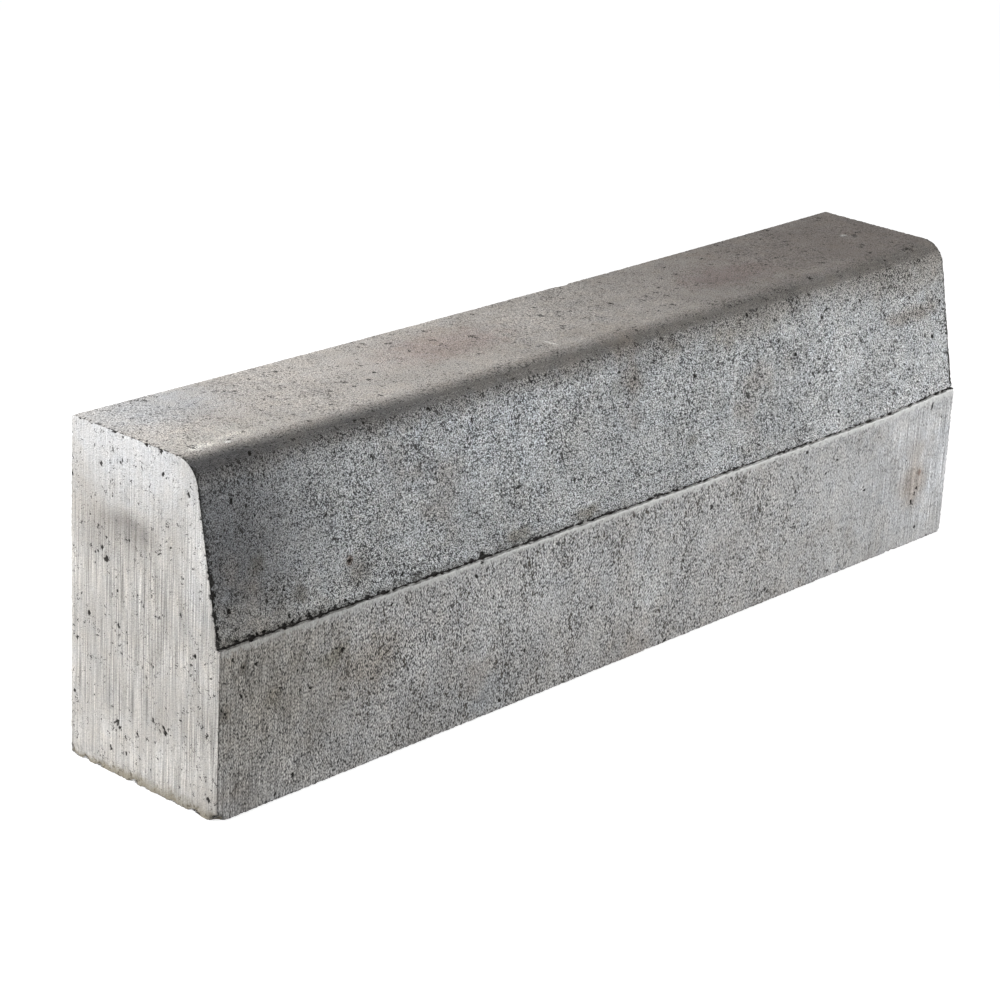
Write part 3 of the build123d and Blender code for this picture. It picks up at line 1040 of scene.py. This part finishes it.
# %% Grain and torn grains
def grained(c, colour):
    """Grain, strong on the batter, weaker where the skin is smooth, drawn out upright on the lower face."""
    drawn = node(c.tree, "ShaderNodeCombineXYZ", {"X": 1.0, "Y": 1.0, "Z": c.mix(c.lower, 1.0, 0.55)})
    c.grain = use(c.tree, concrete_grain, Vector=vector_node(c.tree, "MULTIPLY", c.at, drawn), Tears=0.72)
    strength = c.mix(c.upper, 0.20, 0.50)
    strength = c.mix(c.lower, strength, 0.36)
    strength = c.mix(c.on_end, strength, 0.055)
    for mask, share in ((c.smooth_lip, 0.50), (c.smooth_far, 0.40), (c.smooth_near, 0.72)):
        strength = c.both(strength, c.mix(mask, 1.0, share))
    strength = c.both(strength, c.ramp(c.patch, -0.4, 0.4, 1.2, 0.75, "LINEAR"),
                      c.ramp(c.x, -0.1, 0.5, 1.0, 0.86, "LINEAR"))
    swing = {"Value": c.take("MULTIPLY_ADD", c.grain, strength, 1.0), "Min": 0.15, "Max": 2.0}
    return scaled(c.tree, colour, node(c.tree, "ShaderNodeClamp", swing))


def torn_grains(c, colour):
    """Dark holes where grains tore out, most of them on the batter."""
    open_skin = c.mix(c.on_end, c.mix(c.on_top, 0.85, 0.30), 0.20)
    open_skin = c.both(open_skin, c.other(c.smooth_lip), c.other(c.both(c.smooth_far, 0.6)),
                       c.other(c.both(c.smooth_near, c.lower, 0.5)))
    dark = mixed(c.tree, c.lower, paint(32, 31, 28), paint(60, 55, 46))
    return mixed(c.tree, c.both(c.grain.node.outputs["Tear"], open_skin), colour, dark)


# %% Marks of the mould
def dragged(c, colour):
    """Drag lines on the ends, and on the lower face near them."""
    line = use(c.tree, mould_drag, Vector=c.at)
    strength = c.both(c.on_end, c.ramp(c.z, 0.285, 0.20, 0.30, 1.0), c.ramp(c.patch, -0.4, 0.4, 1.2, 0.6))
    strength = c.take("ADD", strength, c.both(c.lower, c.ramp(c.from_end, 0.02, 0.20, 0.9, 0.2)))
    c.lines = c.both(line, strength)
    return scaled(c.tree, colour, c.take("MULTIPLY_ADD", c.lines, 0.21, 1.0))


def pinholed(c, colour):
    """Pinholes, most of them on the ends."""
    holes = use(c.tree, pinholes, Vector=c.at, Per_Metre=230.0,
                Share=c.mix(c.on_end, c.mix(c.on_top, 0.14, 0.07), 0.60),
                Radius=c.mix(c.on_end, c.mix(c.on_top, 0.0022, 0.0032), 0.0015))
    holes = c.both(holes, c.mix(c.lower, 0.92, 0.5), c.ramp(c.back, 0.5, 0.8, 1.0, 0.5))
    return c.over(colour, holes, (30, 28, 25))


def lipped(c, colour):
    """A painted highlight on the smooth lip under the seam, brightest at its edge, and dirt with painted
    shade in the crumbling edge above it.
    """
    away = c.take("MULTIPLY_ADD", c.take("SUBTRACT", c.broken, 0.5), 0.016, c.seam_gap)
    stepped = c.both(c.other(c.on_end), c.ramp(c.y, -0.0868, -0.0872), c.ramp(c.z, 0.10, 0.14),
                     c.ramp(c.z, lower_face_height + 0.0006, lower_face_height + 0.0002))
    # The pale lip band and its bright brim are painted highlight, where the rounded lip and the ledge catch
    # the light from above
    lip = c.both(stepped, c.ramp(away, 0.0035, 0.0075, 1.0, 0.0), c.ramp(c.x, -0.50, -0.12, 0.50, 1.0))
    colour = c.over(colour, c.both(lip, 0.80), (211, 212, 210))
    brim_highlight = c.both(stepped, c.ramp(c.seam_gap, 0.0026, 0.0040, 1.0, 0.0), c.ramp(c.x, -0.42, -0.15),
                  c.ramp(c.broken, 0.40, 0.52, 0.15, 0.80))
    colour = c.over(colour, brim_highlight, (240, 240, 238))
    # Darker in the crumbling edge above the seam: dirt, and painted shade in the crease over the groove
    crumbling = c.both(c.upper, c.ramp(away, 0.009, 0.002), c.ramp(c.x, 0.15, -0.15))
    return c.over(colour, c.both(crumbling, 0.40), (80, 78, 72))


# %% The foot, and the dirt and painted shade
def footed(c, colour):
    """A tan, crumbling foot on the ends, and the large corner that broke off."""
    rough_z = c.take("ADD", signed(c.tree, c.broken, 0.006), c.take("MULTIPLY_ADD", c.wobble, -0.007, c.z))
    foot = c.both(c.on_end, c.ramp(rough_z, c.ramp(c.y, 0.09, -0.05, 0.007, 0.016), 0.002))
    colour = c.over(colour, c.both(foot, 0.80), (150, 142, 124))
    colour = c.over(colour, c.both(foot, c.ramp(c.broken, 0.40, 0.34), 0.7), (76, 70, 56))
    corner = use(c.tree, placed_spot, Vector=c.mould, Centre=(-0.5, -0.09, 0.0), Size=(0.014, 0.017, 0.012),
                 Wobble=c.wobble, Raggedness=0.2)
    return c.over(colour, c.both(corner, 0.7), (110, 106, 98))


def dirtied_and_shaded(c, colour):
    """Dirt with painted shade in the pits, in the seam and along the end arrises."""
    # The pits, the torn seam and its groove are painted near black: dirt, and painted shade inside them
    colour = c.over(colour, c.both(c.ramp(c.hollow, 0.00015, 0.0007), 0.92), (34, 32, 29))
    # Darker along the end arrises: dirt and painted shade. On the far end's batter arris it is painted shade,
    # the side of the rounded arris turned from the light
    ragged = c.take("MULTIPLY_ADD", c.take("SUBTRACT", c.broken, 0.5), 0.018, c.from_end)
    batter = c.both(c.upper, c.ramp(ragged, 0.0038, 0.0022), c.ramp(c.z, 0.265, 0.20, 0.5, 1.0))
    top = c.both(c.ramp(c.up, 0.3, 0.6), c.ramp(ragged, 0.0016, 0.0004), 0.8)
    line = c.both(c.on_road, c.ramp(c.from_end, 0.0016, 0.0008), 0.6)
    far_edge_shade = c.both(c.upper, c.ramp(c.x, 0.4955, 0.4980), c.ramp(c.z, 0.235, 0.175, 0.0, 1.0))
    for mask in (batter, top, line, far_edge_shade):
        colour = c.over(colour, mask, (28, 27, 25))
    return colour


# %% Put the finish together
def finish_concrete(material):
    c = finish_bench(material.node_tree)
    find_skins(c)
    colour = paste_colour(c)
    for step in (clouded, grained, torn_grains, dragged, pinholed, lipped, footed, dirtied_and_shaded):
        colour = step(c, colour)
    lift = c.take("MULTIPLY_ADD", c.lines, 0.3, c.both(c.grain, 0.35))
    bump = node(c.tree, "ShaderNodeBump", {"Strength": 0.5, "Distance": 0.0006, "Height": lift})
    shader = c.tree.nodes["Principled BSDF"]
    c.tree.links.new(colour, shader.inputs["Base Color"])
    c.tree.links.new(bump, shader.inputs["Normal"])
    c.tree.links.new(c.ramp(c.cloud, -0.5, 0.5, 0.92, 0.80), shader.inputs["Roughness"])
    shader.inputs["Specular IOR Level"].default_value = 0.3


finish_concrete(concrete)
print("nodes in the finish:", len(concrete.node_tree.nodes))

# %% [markdown]
# ## Floor and world
#
# The photograph is a cut-out on white. A pale floor that lights up only for the camera and for reflections
# looks white without throwing more light on the block, and it still takes the block's shadow. The world does
# the same.

# %% Floor
def seen_directly(tree):
    """1 for rays from the camera, from reflections and through glass, and 0 for rays that light the block."""
    rays = node(tree, "ShaderNodeLightPath").node.outputs
    seen = math_node(tree, "ADD", rays["Is Camera Ray"], rays["Is Glossy Ray"])
    return math_node(tree, "ADD", seen, rays["Is Transmission Ray"], clamp=True)


def floor_material():
    material = bpy.data.materials.new("floor_white")
    material.use_nodes = True
    tree = material.node_tree
    tree.nodes.clear()
    matt = node(tree, "ShaderNodeBsdfDiffuse", {"Color": (0.8, 0.8, 0.8, 1.0)})
    glow = math_node(tree, "MULTIPLY", seen_directly(tree), 0.78)
    glow = node(tree, "ShaderNodeEmission", {"Color": (1.0, 1.0, 1.0, 1.0), "Strength": glow})
    out = tree.nodes.new("ShaderNodeOutputMaterial")
    tree.links.new(node(tree, "ShaderNodeAddShader", {0: matt, 1: glow}), out.inputs["Surface"])
    return material


reach = 9
floor_mesh = bpy.data.meshes.new("floor")
floor_corners = [(-reach, -reach, 0), (reach, -reach, 0), (reach, reach, 0), (-reach, reach, 0)]
floor_mesh.from_pydata(floor_corners, [], [(0, 1, 2, 3)])
floor_mesh.materials.append(floor_material())
floor = bpy.data.objects.new("floor", floor_mesh)
bpy.context.scene.collection.objects.link(floor)
print(f"floor: {2 * reach} m square")

# %% World
world = bpy.data.worlds.new("studio")
bpy.context.scene.world = world
world.use_nodes = True
tree = world.node_tree
background = tree.nodes["Background"].inputs
tree.links.new(mixed_value(tree, seen_directly(tree), 0.25, 1.0), background["Strength"])
background["Color"].default_value = (1.0, 1.0, 1.0, 1.0)
bpy.context.scene.view_settings.view_transform = "Standard"
print("view transform:", bpy.context.scene.view_settings.view_transform)

# %% [markdown]
# ## Lamps
#
# In the photograph the end face is the brightest, the top comes next and the road side is in soft shade.
# Three soft boxes give that: one low over the near end's top, one off the end, and one off the far end of
# the road side.

# %% Three soft boxes
def soft_box(name, spot, aim, width, power):
    """A square area lamp at a place, turned towards another."""
    light = bpy.data.lights.new(name, "AREA")
    light.shape, light.size, light.energy = "SQUARE", width, power
    lamp = bpy.data.objects.new(name, light)
    bpy.context.scene.collection.objects.link(lamp)
    lamp.location = spot
    lamp.visible_camera = False
    lamp.rotation_euler = (Vector(aim) - Vector(spot)).to_track_quat("-Z", "Y").to_euler()
    print(f"{name}: {width} m wide, {power} W")


soft_box("key_lamp", (-0.52, 0.41, 0.75), (-0.35, 0.0, 0.20), 0.7, 5.5)
soft_box("end_lamp", (-2.50, 0.70, 0.82), (-0.40, 0.0, 0.15), 0.8, 31.0)
soft_box("road_lamp", (1.60, -1.77, 0.36), (0.10, 0.0, 0.15), 0.7, 36.0)

# %% [markdown]
# ## Camera
#
# The camera stands where the photograph's did. Its place, turn and lens were worked out from the block's
# straight edges in the photograph, with the block's sizes known. It is rolled by three degrees, as the
# photograph is.

# %% Camera
yaw, pitch, roll = -0.8448, 0.3588, 0.0523
behind = Vector((math.sin(yaw) * math.cos(pitch), -math.cos(yaw) * math.cos(pitch), math.sin(pitch)))
level = Vector((math.cos(yaw), math.sin(yaw), 0.0))
upright = behind.cross(level)
across = level * math.cos(roll) + upright * math.sin(roll)
upwards = upright * math.cos(roll) - level * math.sin(roll)
camera_place = (-2.03078, -1.73334, 1.12857)
turned = Matrix((across, upwards, behind)).transposed().to_4x4()
camera = bpy.data.objects.new("camera", bpy.data.cameras.new("camera"))
bpy.context.scene.collection.objects.link(camera)
camera.matrix_world = Matrix.Translation(camera_place) @ turned
camera.data.lens, camera.data.sensor_width = 112.134, 36.0
bpy.context.scene.camera = camera
print(f"camera: {Vector(camera_place).length:.2f} m away, lens {camera.data.lens:.0f} mm")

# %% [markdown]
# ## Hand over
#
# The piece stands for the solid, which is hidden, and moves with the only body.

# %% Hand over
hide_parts("kerb_stone")
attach(kerb, "root")
